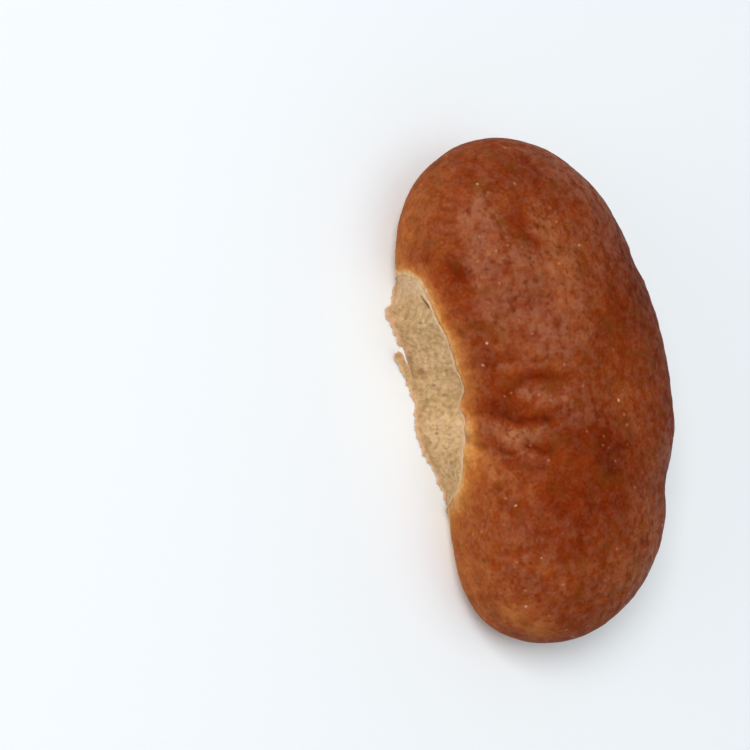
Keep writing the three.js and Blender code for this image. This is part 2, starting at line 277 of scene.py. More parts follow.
# Crumbs round the tear's narrow end: share, reach, and the reach's waver.
CRUMBLY = (0.7, 1.5)
CRUMBLY_WAVER = (0.7, 2.4, 8)
BASE_HEIGHT = 0.6  # below which the crust may be base
BASE_UPRIGHT = 0.5  # least upright part of its normal

# ---- grids
CRUST_STATIONS = 345
BED_COLUMNS = 34
LIP_COLUMNS = 6
DOME_COLUMNS = 189
OUTER_COLUMNS = 34
BASE_COLUMNS = 22
NARROW_END_POINTS = 9  # of the tear's outline, that go up its narrow end
EDGE_SHEAR = 4  # how fast the columns of the dome forget the height of the torn edge
LEAST_UNDER = 6  # half-height below the waist that still narrows the lip
FINE_STEPS = 2000  # for lengths along a curve
NEAR_WAIST = 0.99  # of the half-width, the furthest out that a path on the crust goes
LATTICE_SHIFT = 1000  # keeps the corners of the space lattice above 0


# ---- numbers
def mix(a, b, share):
    return a + (b - a) * share


def smooth(x):
    """0 below 0, 1 above 1, and 3x^2 - 2x^3 between."""
    x = np.clip(x, 0, 1)
    return x * x * (3 - 2 * x)


def eased(x, begins, over):
    """0 up to begins, easing to 1 over the stretch after it."""
    return smooth((x - begins) / over)


def within(station, first, last, fades):
    """1 between two stations, easing to 0 at the first and at the last, each over its own length."""
    return smooth((station - first) / fades[0]) * smooth((last - station) / fades[1])


def bell(distance, reach):
    return np.exp(-((distance / reach) ** 2))


def shares(count, ends=False):
    """count numbers spaced evenly from 0 to 1 along a row, without the last one unless ends is set."""
    return np.linspace(0, 1, count, endpoint=ends)[None]


def inner_shares(count):
    """count numbers spaced evenly between 0 and 1 down a column, without 0 and 1."""
    return np.linspace(0, 1, count + 2)[1:-1, None]


def lattice_value(i, j):
    """A number from 0 to 1 that the whole numbers i and j decide: the fraction of a large sine."""
    mixed = np.sin(i * 127.1 + j * 311.7) * 43758.5453
    return mixed - np.floor(mixed)


def unevenness(x, y):
    """Smooth noise from -1 to 1: lattice values one cell apart, blended between their four neighbours."""
    i, j = np.floor(x), np.floor(y)
    u, v = smooth(x - i), smooth(y - j)
    low = mix(lattice_value(i, j), lattice_value(i + 1, j), u)
    high = mix(lattice_value(i, j + 1), lattice_value(i + 1, j + 1), u)
    return 2 * mix(low, high, v) - 1


def corner_value(cell, seed):
    """A number from 0 to 1 for each whole-numbered corner of a space lattice: its mixed bits."""
    bits = (cell[..., 0] * 73856093) ^ (cell[..., 1] * 19349663) ^ (cell[..., 2] * 83492791)
    bits = (bits ^ (seed * 2654435761)) & 0xFFFFFFFF
    bits = ((bits ^ (bits >> 15)) * 2246822519) & 0xFFFFFFFF
    bits = ((bits ^ (bits >> 13)) * 3266489917) & 0xFFFFFFFF
    return ((bits ^ (bits >> 16)) & 0xFFFFFF) / 0xFFFFFF


def lumps(points, cell, seed):
    """Smooth noise in space from -1 to 1: corner values of cubes, blended between the eight corners."""
    place = points / cell + LATTICE_SHIFT
    low = np.floor(place).astype(np.int64)
    u = smooth(place - low)
    total = 0
    for corner in np.ndindex(2, 2, 2):
        weight = np.prod(np.where(np.array(corner), u, 1 - u), axis=-1)
        total = total + weight * corner_value(low + np.array(corner), seed)
    return 2 * total - 1


def uneven(points, *waves):
    """The sum of smooth noises in space, each given by its height, size and seed."""
    return sum(by * lumps(points, size, seed) for by, size, seed in waves)


def creases(points, cell, seed):
    """Sharp valleys where smooth noise crosses 0: 1 on the crossing, 0 a quarter away from it."""
    return np.clip(1 - 4 * np.abs(lumps(points, cell, seed)), 0, 1)


# ---- form
def tip_share(share, ends):
    """(1 - |share|^n)^(1/n), with an exponent for each end: 1 in the middle of the roll, 0 at a tip."""
    exponent = np.where(share < 0, ends[0], ends[1])
    return (1 - np.minimum(1, np.abs(share)) ** exponent) ** (1 / exponent)


def swell_at(swells, station):
    """The sum of the swells' bell curves at a station."""
    return sum(by * bell(station - at, reach) for at, by, reach in swells)


def torn_arch(station):
    """Share of the tear's height at a station: (1 - t^n)^(1/m), t from 0 mid-tear to 1 at either end."""
    narrow = station < TEAR_MIDDLE
    half = np.where(narrow, TEAR_MIDDLE - TEAR_FROM, TEAR_TO - TEAR_MIDDLE)
    share = np.minimum(1, np.abs(station - TEAR_MIDDLE) / half)
    power = np.where(narrow, TEAR_ENDS[0], TEAR_ENDS[1])
    drop = np.where(narrow, TEAR_DROPS[0], TEAR_DROPS[1])
    return (1 - share**power) ** (1 / drop)


def torn_edge(station):
    """Height of the crust's torn edge: the arch with its rises and dips, ragged by noise of several sizes."""
    arch = torn_arch(station)
    waves = sum(by * unevenness(station / cell, row) for cell, by, row in EDGE_WAVES)
    return TEAR_HEIGHT * arch + (waves + swell_at(EDGE_SWELLS, station)) * smooth(arch * 2)


def torn_share(station):
    """1 along the wall of crumb, easing to 0 where the side is rounded again."""
    return within(station, WALL_FROM, WALL_TO, WALL_FADES)


def section_at(station):
    """Half-widths, heights and sideways lean of the section at each station."""
    share = station / HALF_LENGTH
    slimmer = 1 - TAPER * share
    tip = tip_share(share, HEIGHT_TIPS)
    under = WAIST * UNDER_DEPTH * tip
    outer = OUTER_WIDTH * slimmer + swell_at(OUTER_SWELLS, station)
    inner = INNER_WIDTH * slimmer + swell_at(INNER_SWELLS, station)
    return SimpleNamespace(
        outer=tip_share(share, OUTER_TIPS) * outer,
        inner=tip_share(share, INNER_TIPS) * inner,
        top=(HEIGHT - WAIST) * tip,
        under=under,
        lowest=-np.minimum(LOWEST_SHARE, WAIST / np.maximum(under, 1)),
        aside=-np.where(share < 0, TIP_LEAN[0], TIP_LEAN[1]) * share**4,
        tip=tip_share(share, OUTER_TIPS),
    )


def section_angle(share):
    """Angle above the waist at which the section reaches a share of its height, 1 crown, -1 lowest."""
    exponent = np.where(share < 0, UNDER_ROUNDNESS, DOME_ROUNDNESS)
    return np.sign(share) * np.arcsin(np.abs(share) ** (exponent / 2))


def arch_point(section, angle):
    """Across and height at an angle round the section, 0 outer waist, pi inner waist: the signed
    2/n powers of cosine and sine, times half-width and half-height."""
    c, s = np.cos(angle), np.sin(angle)
    exponent = np.where(s < 0, UNDER_ROUNDNESS, DOME_ROUNDNESS)
    width = np.where(c < 0, section.inner, section.outer)
    reach = np.where(s < 0, -section.under, section.top)
    across = np.sign(c) * width * np.abs(c) ** (2 / exponent)
    return across, WAIST + reach * np.abs(s) ** (2 / exponent)


def side_across(width, section, height):
    """Distance from the middle to the section's side at a height: width * (1 - |share|^n)^(1/n)."""
    share = (height - WAIST) / np.where(height < WAIST, section.under, section.top)
    exponent = np.where(share < 0, UNDER_ROUNDNESS, DOME_ROUNDNESS)
    return width * np.maximum(0, 1 - np.abs(share) ** exponent) ** (1 / exponent)


def line_distance(points, line):
    """Least distance from each point to a line's straight stretches: the foot of the perpendicular, kept
    between the stretch's two ends."""
    least = np.inf
    for a, b in zip(line, line[1:]):
        step = b - a
        along = np.clip((points - a) @ step / (step @ step), 0, 1)
        least = np.minimum(least, np.linalg.norm(points - a - along[..., None] * step, axis=-1))
    return least


def fold_relief(station, across):
    """The sum of the folds' bell curves over the distance to each fold's path."""
    places = np.stack(np.broadcast_arrays(station, across), axis=-1)
    return sum(by * bell(line_distance(places, np.array(path)), width) for by, width, path in FOLDS)


def crust_relief(station, across, height):
    """How far the crust stands out: folds and slow unevenness, fading out towards the base."""
    cell, by = UNEVEN
    slow = by * unevenness(station / cell, (across + height) / cell)
    return (fold_relief(station, across) + slow) * smooth(height / WAIST)


def crumb_wall(station, section, across, height, edge):
    """The inner side drawn out to a straight wall from the torn edge to its foot."""
    foot = np.interp(station, *WALL_FEET)
    wall = mix(section.inner, foot, np.clip(1 - height / np.maximum(edge, 1), 0, 1))
    return mix(across, -wall, torn_share(station))


def wall_at(station, section, height, edge):
    """Across of the plain wall at each height, before crags and shreds."""
    return crumb_wall(station, section, -side_across(section.inner, section, height), height, edge)


def push_out(across, height, relief):
    """Moves places of a section out by the relief, away from the middle line at the waist's height."""
    rise = np.maximum(0, height - WAIST)
    length = np.maximum(np.hypot(across, rise), 1e-6)
    return across + relief * across / length, height + relief * rise / length


def bend(station, section, across, height):
    """Points in space: the middle line is an arc, and across is measured from it along its radius."""
    radius = BEND_RADIUS + across + section.aside
    turn = station / BEND_RADIUS
    x, y = radius * np.sin(turn), radius * np.cos(turn) - BEND_RADIUS
    return np.stack(np.broadcast_arrays(x, y, height), axis=-1) - ORIGIN


def on_crust(path):
    """Points in space on the top of the crust for a path of (station, across) points."""
    station, across = np.array(path, float).T
    section = section_at(station)
    width = np.where(across < 0, section.inner, section.outer)
    share = np.minimum(np.abs(across) / width, NEAR_WAIST)
    height = WAIST + section.top * (1 - share**DOME_ROUNDNESS) ** (1 / DOME_ROUNDNESS)
    return bend(station, section, *push_out(across, height, crust_relief(station, across, height)))


def sum_of_bells(points, marks):
    """The sum of the marks' bell curves over the distance in space to each mark's path on the crust."""
    return sum(by * bell(line_distance(points, on_crust(path)), reach) for by, reach, path in marks)


def dots(points, places):
    """1 in the middle of each place on the crust, falling off as a bell curve over DOT_REACH."""
    middles = on_crust(places)
    return sum(bell(np.linalg.norm(points - middle, axis=-1), DOT_REACH) for middle in middles)


def even_stations(count):
    """Stations from tip to tip, evenly spaced along the roll's outline, without the two tips."""
    angle = np.linspace(-math.pi / 2, math.pi / 2, FINE_STEPS)
    step = np.hypot(HALF_LENGTH * np.cos(angle), OUTER_WIDTH * np.sin(angle))
    length = np.concatenate([[0], np.cumsum((step[1:] + step[:-1]) / 2)])
    even = np.interp(np.linspace(0, length[-1], count + 2)[1:-1], length, angle)
    return HALF_LENGTH * np.sin(even)[:, None]


def even_angles(first, last, count):
    """Angles round the middle section from first towards last, spaced evenly along the surface."""
    angle = np.linspace(first, last, FINE_STEPS)
    across, height = arch_point(section_at(np.zeros(1)), angle)
    length = np.concatenate([[0], np.cumsum(np.hypot(np.diff(across), np.diff(height)))])
    return np.interp(np.linspace(0, length[-1], count, endpoint=False), length, angle)[None]


def unit(vectors):
    """The vectors divided by their lengths."""
    return vectors / np.maximum(np.linalg.norm(vectors, axis=-1, keepdims=True), 1e-9)


def grid_normals(points):
    """Unit normals of a grid of rings: the cross product of its two directions."""
    around = np.roll(points, -1, axis=1) - np.roll(points, 1, axis=1)
    return unit(np.cross(around, np.gradient(points, axis=0)))


# ---- meshes
def placed(name, data):
    """A new object of the scene with that data."""
    thing = bpy.data.objects.new(name, data)
    bpy.context.scene.collection.objects.link(thing)
    return thing


def closed_mesh(name, rings, attributes, tips=None):
    """A closed surface from rings of points (stations, columns, 3) and the two tips that close it, by
    default the middles of the first and the last ring. attributes maps a name to one number for each ring
    point; a tip takes its ring's mean."""
    if tips is None:
        tips = rings[0].mean(axis=0), rings[-1].mean(axis=0)
    count, columns = rings.shape[:2]
    vertices = np.concatenate([rings.reshape(-1, 3), tips]) * MM
    ring = np.arange(count * columns).reshape(count, columns)
    beside = np.roll(ring, -1, axis=1)
    quads = np.stack([ring[:-1], beside[:-1], beside[1:], ring[1:]], axis=-1).reshape(-1, 4)
    first, last = count * columns, count * columns + 1
    caps = np.concatenate([
        np.stack([np.full(columns, first), beside[0], ring[0]], axis=-1),
        np.stack([np.full(columns, last), ring[-1], beside[-1]], axis=-1),
    ])
    mesh = bpy.data.meshes.new(name)
    mesh.vertices.add(len(vertices))
    mesh.vertices.foreach_set("co", vertices.ravel())
    mesh.loops.add(quads.size + caps.size)
    mesh.loops.foreach_set("vertex_index", np.concatenate([quads.ravel(), caps.ravel()]))
    mesh.polygons.add(len(quads) + len(caps))
    starts = np.concatenate([np.arange(len(quads)) * 4, quads.size + np.arange(len(caps)) * 3])
    mesh.polygons.foreach_set("loop_start", starts)
    mesh.polygons.foreach_set("use_smooth", np.ones(len(starts), bool))
    for label, values in attributes.items():
        values = np.broadcast_to(values, (count, columns))
        flat = np.concatenate([values.ravel(), [values[0].mean()], [values[-1].mean()]])
        mesh.attributes.new(label, "FLOAT", "POINT").data.foreach_set("value", flat)
    mesh.update(calc_edges=True)
    mesh.validate()
    return placed(name, mesh)


# ---- crust
def crust_rings(station, section):
    """Across and height of the crust's rings, and which of their points lie below the edge's column.
    Round a ring come the inner side up to the torn edge, the lip, the dome, the outer side, the base."""
    rest = mix(*REST_SHARES, eased(station, *REST_CHANGES))
    rise = torn_edge(station) - WAIST
    share = np.maximum(rise / np.where(rise < 0, section.under, section.top), rest)
    edge_angle = math.pi - section_angle(share)
    low_angle = -section_angle(section.lowest)
    lip_angle = edge_angle + BED_EASE / np.maximum(section.under, LEAST_UNDER)
    bed = mix(math.pi + low_angle, lip_angle, shares(BED_COLUMNS))
    lip = mix(lip_angle, edge_angle, shares(LIP_COLUMNS))
    dome = even_angles(math.pi, 0, DOME_COLUMNS)
    dome = dome + (edge_angle - math.pi) * (1 - shares(DOME_COLUMNS)) ** EDGE_SHEAR
    outer = low_angle * even_angles(0, -1, OUTER_COLUMNS)
    arch = arch_point(section, np.concatenate([bed, lip, dome, outer], axis=1))
    inner_foot = arch_point(section, math.pi + low_angle)
    outer_foot = arch_point(section, -low_angle)
    base = mix(outer_foot[0], inner_foot[0], shares(BASE_COLUMNS)), outer_foot[1] + 0 * shares(BASE_COLUMNS)
    side = np.zeros(BED_COLUMNS + LIP_COLUMNS + DOME_COLUMNS + OUTER_COLUMNS + BASE_COLUMNS, bool)
    side[:BED_COLUMNS + LIP_COLUMNS] = True
    across = np.concatenate([arch[0], base[0]], axis=1)
    height = np.concatenate([arch[1], base[1]], axis=1)
    return across, height, side[None]


def tear_outline():
    """Points in space round the edge of the tear: up its narrow end, along it, and down its blunt end."""
    station = np.linspace(TEAR_FROM + OUTLINE_INSET, TEAR_TO - OUTLINE_INSET, OUTLINE_POINTS)
    section = section_at(station)
    edge = torn_edge(station)
    return bend(station, section, wall_at(station, section, edge, edge), np.maximum(edge, 0))


def low_share(height, by, below, over):
    """0 above a height, growing smoothly to by further down."""
    return by * smooth((below - height) / over)


def browning_of(station, across, height, points):
    """How brown the crust is, 0 pale skin to 1 darkest: brown over the dome, golden by the tear and low
    on the sides, pale at the foot, with stains, painted shade in the creases, painted highlights on the
    bulges and the ridge, and slow patches."""
    from_tear = line_distance(points, tear_outline())
    paler, reach, wider = GOLDEN
    reach = reach + wider * eased(station, *GOLDEN_WIDENS) + uneven(points, GOLDEN_WAVER)
    golden = paler * bell(from_tear, reach) + EDGE_LINE[0] * bell(from_tear, EDGE_LINE[1])
    low = np.where(across < 0, low_share(height, *INNER_LOW), low_share(height, *OUTER_LOW))
    foot = low_share(height - uneven(points, FOOT_WAVER), *PALE_FOOT)
    brown = BROWN + uneven(points, *SLOW_PATCHES) + sum_of_bells(points, STAINS_AND_PAINTED_LIGHT) - golden - low - foot
    return np.clip(brown, 0, 1)


def strayed(points, by, cell, seed):
    """The points moved by smooth noise, so that what is measured from them runs unevenly."""
    return points + by * np.stack([lumps(points, cell, seed + axis) for axis in range(3)], axis=-1)


def leather(points):
    """Lumps of the crust's skin and the depth of its fine creases, in millimetres. The coarse creases
    come and go."""
    folded = strayed(points, *CREASES_STRAY)
    patchy = smooth(CREASED_SHARE + lumps(points, *CREASED_PATCHES))
    coarse, fine = (by * creases(folded, size, seed) for by, size, seed in (COARSE_CREASES, FINE_CREASES))
    return uneven(points, *LEATHER_LUMPS), coarse * patchy + fine


def make_crust():
    """The crust and base of the roll as one closed surface: rings of the bent section, pushed out by
    folds and slow unevenness, then along the surface's own normal by lumps, wrinkles and fine creases."""
    station = even_stations(CRUST_STATIONS)
    section = section_at(station)
    across, height, side = crust_rings(station, section)
    edge = np.maximum(torn_edge(station), EDGE_LEAST)
    relief = crust_relief(station, across, height) * section.tip
    bed = smooth((edge - height) / BED_EASE) * within(station, TEAR_FROM, TEAR_TO, BED_FADES) * side
    walled = side & (height < edge)
    across = np.where(walled, crumb_wall(station, section, across, height, edge), across)
    relief_here = np.where(walled, relief * smooth(height / edge), relief)
    points = bend(station, section, *push_out(across, height, relief_here - BED_DEPTH * bed))
    normal = grid_normals(points)
    rounded, sharp = leather(points)
    wrinkles = sum_of_bells(strayed(points, *WRINKLES_STRAY), WRINKLES)
    flecks = dots(points, BRIGHT_FLECKS) + DIM_SHARE * dots(points, FLECKS)
    pits = dots(points, PITS)
    fine = rounded - sharp + wrinkles + FLECK_HEIGHT * flecks - PIT_DEPTH * pits
    fine = fine * smooth(height / FINE_FADE) * (1 - bed) * section.tip
    points = points + normal * fine[..., None]
    points[..., 2] = np.maximum(points[..., 2], 0)
    # How deep the folds and wrinkles lie, for the painted shade in the valleys.
    folds = np.clip(-(wrinkles + FOLD_SHARE * fold_relief(station, across)), 0, 1)
    # Pale skin, which also stands for painted sheen on the lit slopes, bulges and rims; less of it stands for
    # painted shade in the creases.
    skin_and_sheen = SKIN_AND_SHEEN_SHARE + sum_of_bells(strayed(points, *SKINS_AND_SHEEN_STRAY), SKINS_AND_SHEEN)
    skin_and_sheen = (skin_and_sheen + OUTER_SKIN_AND_SHEEN * eased(across, *OUTER_SKIN_AND_SHEEN_BEGINS)) * eased(height, *SKINLESS_FOOT)
    narrow_end = tear_outline()[:NARROW_END_POINTS]
    crumbly = bell(line_distance(points, narrow_end), CRUMBLY[1] + uneven(points, CRUMBLY_WAVER))
    low = smooth((BASE_HEIGHT - points[..., 2]) / BASE_HEIGHT)
    ends = np.float64(-HALF_LENGTH), np.float64(HALF_LENGTH)
    tips = [bend(end, section_at(end), 0.0, WAIST) for end in ends]
    return closed_mesh("crust", points, tips=tips, attributes={
        # How brown the crust is, with painted shade in its creases and painted highlights on its bulges and
        # ridge.
        "browning_and_painted_light": browning_of(station, across, height, points),
        "torn": np.maximum(bed, CRUMBLY[0] * crumbly),
        # Painted shade in the valleys and fine creases.
        "valley_shade": np.clip(WRINKLE_SHADE * folds + CREASE_SHADE * sharp, 0, 1),
        "dots": flecks - pits,
        # Skin and painted sheen, and less of it for painted shade.
        "skin_and_sheen": np.clip(skin_and_sheen, 0, 1),
        "base": low * (np.abs(normal[..., 2]) > BASE_UPRIGHT),
    })


# ---- torn crumb
CRUMB_STATIONS = 420
CRUMB_COLUMNS = 108
CRUMB_BACK_COLUMNS = 12
CRUMB_THICKNESS = (0.6, 5)  # where the tear ends, and where it is highest
CRUMB_INSET = 0.2  # its two ends from the ends of the tear
FLOOR_GAP = 0.02  # of the crumb and of the strip
CRUMB_LEAST = 0.3  # least height of its front
CRUMB_OVERLAP = -0.5  # at the narrow end the crumb laps over the crust
CRUMB_GAP = (0.1, 0.2)  # below the lip of crust: least, and how much more where it gapes
GAPE_WAVES = (3, 4.5)  # size and row of the noise
CRUMB_BACK = (0.5, 0.8)  # height of the back's lowest row, and of its top below the front's
CRUMB_SINKS = 0.1  # how far its surface dips below the crust at the two ends of the tear
STEP_IN = 0.4  # how far it steps back under the lip
STEP_STARTS = (TEAR_FROM, 8)  # station where it starts to, and over what length
CRAG_SHARE = 0.35  # of the crags' height that the front takes, beside its grain
SHRED_SHARE = 0.5
# Station, depth, reach, how far below the edge, and how fast they near it along the roll.
SLITS = ((-37.7, 1.2, 2.1, 2.9, 0.4), (-8, 0.3, 2, 1.2, 0))
SLIT_WIDTH = 0.65
CRUMB_STRETCH = (1, 1, 0.57)  # by which places shrink, so that grain is drawn out up the wall
GRAIN = ((0.18, 3, 32), (0.09, 1.3, 33), (0.04, 0.6, 34))  # height, size, seed of the noise
GRAIN_FADES = (14, 20)  # it comes in over a 14th of the height at the top, and a 20th at the foot
PORES = (1, 1.6, 31)
PORE_PATCHES = (0.3, 5, 35)
PORE_DEPTH = 0.13
PORES_SINK = (0.35, 0.6)  # how strong a pore is where it starts to sink in, and over what
PORES_DARKEN = (0.25, 0.5)
BRAN = ((-13.6, 5.4, 1), (-4, 13, 0.5), (9, 7.5, 0.4), (20, 12, 0.5), (-31, 15, 0.4), (-8, 10, 0.5))
BRAN_FADES = (1.5, 0.8)  # how full a fleck's middle is, and how much less with each reach from it
# Paler crumb: its reach below the torn edge, its strength and reach at the foot, and at the narrow end.
PALE_EDGE = 1.4
PALE_LOW = (0.5, 1.6)
PALE_END = ((-44, 0.5, 5),)


def slit_depth(station, height, edge):
    """Depth of the narrow slits that run a little below the torn edge: a bell along the roll times a
    narrow bell over the height."""
    return sum(
        by * bell(station - at, reach) * bell(edge - height - below + nearing * (station - at), SLIT_WIDTH)
        for at, by, reach, below, nearing in SLITS
    )


def crumb_front(station, section, height, edge):
    """Across and height of the crumb's surface: the wall with crags, stepped in under the lip, and shreds
    at its foot, dipping below the crust at both ends of the tear."""
    across = wall_at(station, section, height, edge)
    crags = sum(by * unevenness(station / cell, height / cell + cell) for cell, by in CRAGS)
    stepped = smooth((edge - height) / LIP_DEPTH) * eased(station, *STEP_STARTS)
    shreds = SHRED_SHARE * swell_at(SHREDS, station) * bell(height, SHRED_HEIGHT)
    relief = crust_relief(station, across, height) * smooth(height / np.maximum(edge, 1)) * section.tip
    relief = relief + (CRAG_SHARE * crags - STEP_IN) * stepped - slit_depth(station, height, edge) + shreds
    relief = relief - CRUMB_SINKS * (1 - within(station, TEAR_FROM, TEAR_TO, BED_FADES))
    return push_out(across, height, relief)


def crumb_grain(points):
    """Fine relief of torn crumb, in millimetres, drawn out upwards, and how far a place is in a pore."""
    drawn = points * CRUMB_STRETCH
    pores = uneven(drawn, PORES) + uneven(points, PORE_PATCHES)
    return uneven(drawn, *GRAIN) - PORE_DEPTH * eased(pores, *PORES_SINK), eased(pores, *PORES_DARKEN)


def bran_flecks(station, height):
    """1 in the middle of each brown fleck of bran, fading with the distance, drawn out up the wall."""
    full, less = BRAN_FADES
    stretch = CRUMB_STRETCH[2]
    return sum(
        smooth(full - less * np.hypot(station - at, height * stretch - up * stretch) / reach)
        for at, up, reach in BRAN
    )


def make_crumb():
    """The torn crumb: a closed slab whose front is the wall from its foot to the torn edge, with crags,
    pores and fibres, and whose back lies inside the roll. Its two ends close where the tear ends."""
    station = mix(TEAR_FROM + CRUMB_INSET, TEAR_TO - CRUMB_INSET, inner_shares(CRUMB_STATIONS))
    section = section_at(station)
    edge = torn_edge(station)
    gape = CRUMB_GAP[0] + CRUMB_GAP[1] * (1 + unevenness(station / GAPE_WAVES[0], GAPE_WAVES[1]))
    top = np.maximum(edge - mix(CRUMB_OVERLAP, gape, eased(station, *STEP_STARTS)), CRUMB_LEAST)
    up = shares(CRUMB_COLUMNS, True)
    height = mix(FLOOR_GAP, top, up)
    front = crumb_front(station, section, height, edge)
    fine, pore = crumb_grain(bend(station, section, *front))
    fade = smooth((1 - up) * GRAIN_FADES[0]) * smooth(up * GRAIN_FADES[1])
    lowest, below_top = CRUMB_BACK
    back_height = mix(lowest, np.maximum(top - below_top, lowest), inner_shares(CRUMB_BACK_COLUMNS)[::-1].T)
    back = crumb_front(station, section, back_height, edge)[0] + mix(*CRUMB_THICKNESS, torn_arch(station))
    across = np.concatenate([front[0] - fine * fade, back], axis=1)
    points = bend(station, section, across, np.concatenate([front[1] + 0 * fine, back_height], axis=1))
    points[..., 2] = np.maximum(points[..., 2], FLOOR_GAP)
    pale = bell(edge - height, PALE_EDGE) + swell_at(PALE_END, station)
    pale = pale + PALE_LOW[0] * bell(height, PALE_LOW[1])
    painted = {
        "pore": pore,
        "rim": np.minimum(pale, 1),
        # Painted shade in the slits.
        "slit_shade": np.clip(slit_depth(station, height, edge), 0, 1),
        "bran": bran_flecks(station, height),
    }
    plain = np.zeros_like(back_height)
    painted = {name: np.concatenate([values, plain], axis=1) for name, values in painted.items()}
    return closed_mesh("torn_crumb", points, painted)


def torn_skin(name, points, rim, tips=None):
    """A thin piece of torn skin: crumb without pores, slits and bran, paler towards its rim."""
    painted = {"pore": 0, "rim": rim, "bran": 0, "slit_shade": 0}
    return closed_mesh(name, points, painted, tips)


# ---- skin at the foot of the tear
SKIN_FROM = -50.5
SKIN_TO = 37.5
SKIN_FADES = (2, 7)
SKIN_STATIONS = 700
SKIN_COLUMNS = 12
SKIN_TEETH = ((3.1, 0.3, 0.5), (1.2, 0.3, 2.5), (0.6, 0.16, 5.5))  # cell, length, row of the noise
# Larger teeth stand out more and more, then break off: length, reach, and where the wall lies in them.
SAW = (3.4, 1.1, 0.3)
SAW_STRAYS = (0.8, 5, 9.5)  # share of a tooth's length, size and row of the noise
SAW_PATCHES = (0.5, 7, 3.5)  # share of their reach, which comes and goes
# How far the skin reaches out beyond the foot of the wall: stations and reaches, straight runs between.
SKIN_REACHES = (
    (-50.5, -47, -44, -42, -39.2, -38.8, -36, -34.3, -30.2, -26.8, -24.2, -22.8, -15.4, -14.4, -10, -4.4,
     -2.4, 0.8, 5.9, 10.8, 16, 19, 23.2, 26.4, 29.2, 32.3, 34.4, 37.5),
    (0.6, 1, 0.6, 0.2, 0.1, 2.6, 2.7, 2.3, 0.7, 1.1, 0.5, -1.6, -1.6, 0.4, 1.6, 0.6,
     -0.1, 0.6, 0.7, 0.6, 0.9, 0.5, 0.1, 1, -0.2, 0.2, -0.2, 0),
)
SKIN_BEHIND = 2.5  # how far it reaches into the crumb
SKIN_TUCKED = 0.6  # how far behind the wall its two ends lie
SKIN_BASE = 0.6  # height at which it joins the crumb
SKIN_ROOT = 1.5  # height of its upper face inside the crumb
SKIN_THICKNESS = 0.3
SKIN_SLOPE = 0.6  # how fast the upper face falls, less than 1 is hollow
SKIN_LIFT = 0.3  # of its front edge from the floor
LIFT_WAVES = (0.3, 6, 7.5)  # height, size and row of the noise
LIFT_OF_REACH = 0.2  # how much more for each millimetre of reach
SKIN_LUMPS = (0.12, 1.2, 41)
SKIN_GAPS = (0.03, 0.01)  # above the floor: of its lower face inside the crumb, and of all its points


def row_noise(station, by, cell, row):
    """Noise along the roll, by high and about a cell wide."""
    return by * unevenness(station / cell, row)


def skin_teeth(station):
    """How far the ragged edge reaches out: pointed teeth of three sizes, and a slanting saw that strays
    and comes and goes."""
    teeth = sum(by * (1 - 2 * np.abs(unevenness(station / cell, row))) for cell, by, row in SKIN_TEETH)
    length, reach, middle = SAW
    saw = station / length + row_noise(station, *SAW_STRAYS)
    return teeth + reach * ((saw - np.floor(saw)) ** 2 - middle) * (0.5 + row_noise(station, *SAW_PATCHES))


def make_foot_skin():
    """The torn skin of the base along the foot of the crumb: a thin wedge carried along the foot, with
    a ragged front edge of teeth and flaps, curling up a little from the floor."""
    station = mix(SKIN_FROM, SKIN_TO, inner_shares(SKIN_STATIONS))
    section = section_at(station)
    edge = np.maximum(torn_edge(station), EDGE_LEAST)
    low = np.full_like(station, SKIN_BASE)
    inside = crumb_front(station, section, low, edge)[0] + SKIN_BEHIND
    ends = within(station, SKIN_FROM, SKIN_TO, SKIN_FADES)
    reach = np.interp(station, *SKIN_REACHES)
    outside = wall_at(station, section, low, edge) - (reach + skin_teeth(station)) * ends
    outside = outside + SKIN_TUCKED * (1 - ends)
    lift = SKIN_LIFT + row_noise(station, *LIFT_WAVES) + LIFT_OF_REACH * np.maximum(reach, 0)
    lift = lift * ends
    out = shares(SKIN_COLUMNS, True)
    back = out[:, ::-1]
    upper = mix(SKIN_ROOT * ends, lift + SKIN_THICKNESS, out**SKIN_SLOPE)
    lower = mix(SKIN_GAPS[0], lift, back**2)
    around = np.concatenate([out, back], axis=1)
    points = bend(station, section, mix(inside, outside, around), np.concatenate([upper, lower], axis=1))
    points = points + uneven(points, SKIN_LUMPS)[..., None] * [0, 1, 1]
    points[..., 2] = np.maximum(points[..., 2], SKIN_GAPS[1])
    points = points[:, ::-1]
    return torn_skin("foot_skin", points, around[:, ::-1] ** 3)


# Station, across and height of the strip's middle, from its root to its loose end.
STRIP_PATH = ((-4, -31.6, 0.3), (-8.5, -32.4, 0.6), (-13, -33.2, 1.2), (-17.6, -34.6, 2), (-22.6, -36.2, 2.8))
STRIP_STATIONS = 90
STRIP_COLUMNS = 24
STRIP_WIDTH = 2.6
STRIP_THICKNESS = 0.5
STRIP_FACES = (0, -0.57, 0.82)  # the way its flat side looks
STRIP_ROOT = 0.3  # share of its width where it hangs on
STRIP_WIDENS = 2.5  # it is widest 1 / 2.5 of its length from there
STRIP_RAGGED = (0.25, 9, 3.5)  # share of its width, waves along it, row of the noise
STRIP_CLOSES = 12  # its loose end is rounded over a 12th of its length
STRIP_FORK = 0.9  # how far the corners of its ragged end reach past the middle
FORK_FROM = 0.86  # share of its length where the corners begin
STRIP_LUMPS = (0.15, 1.1, 51)


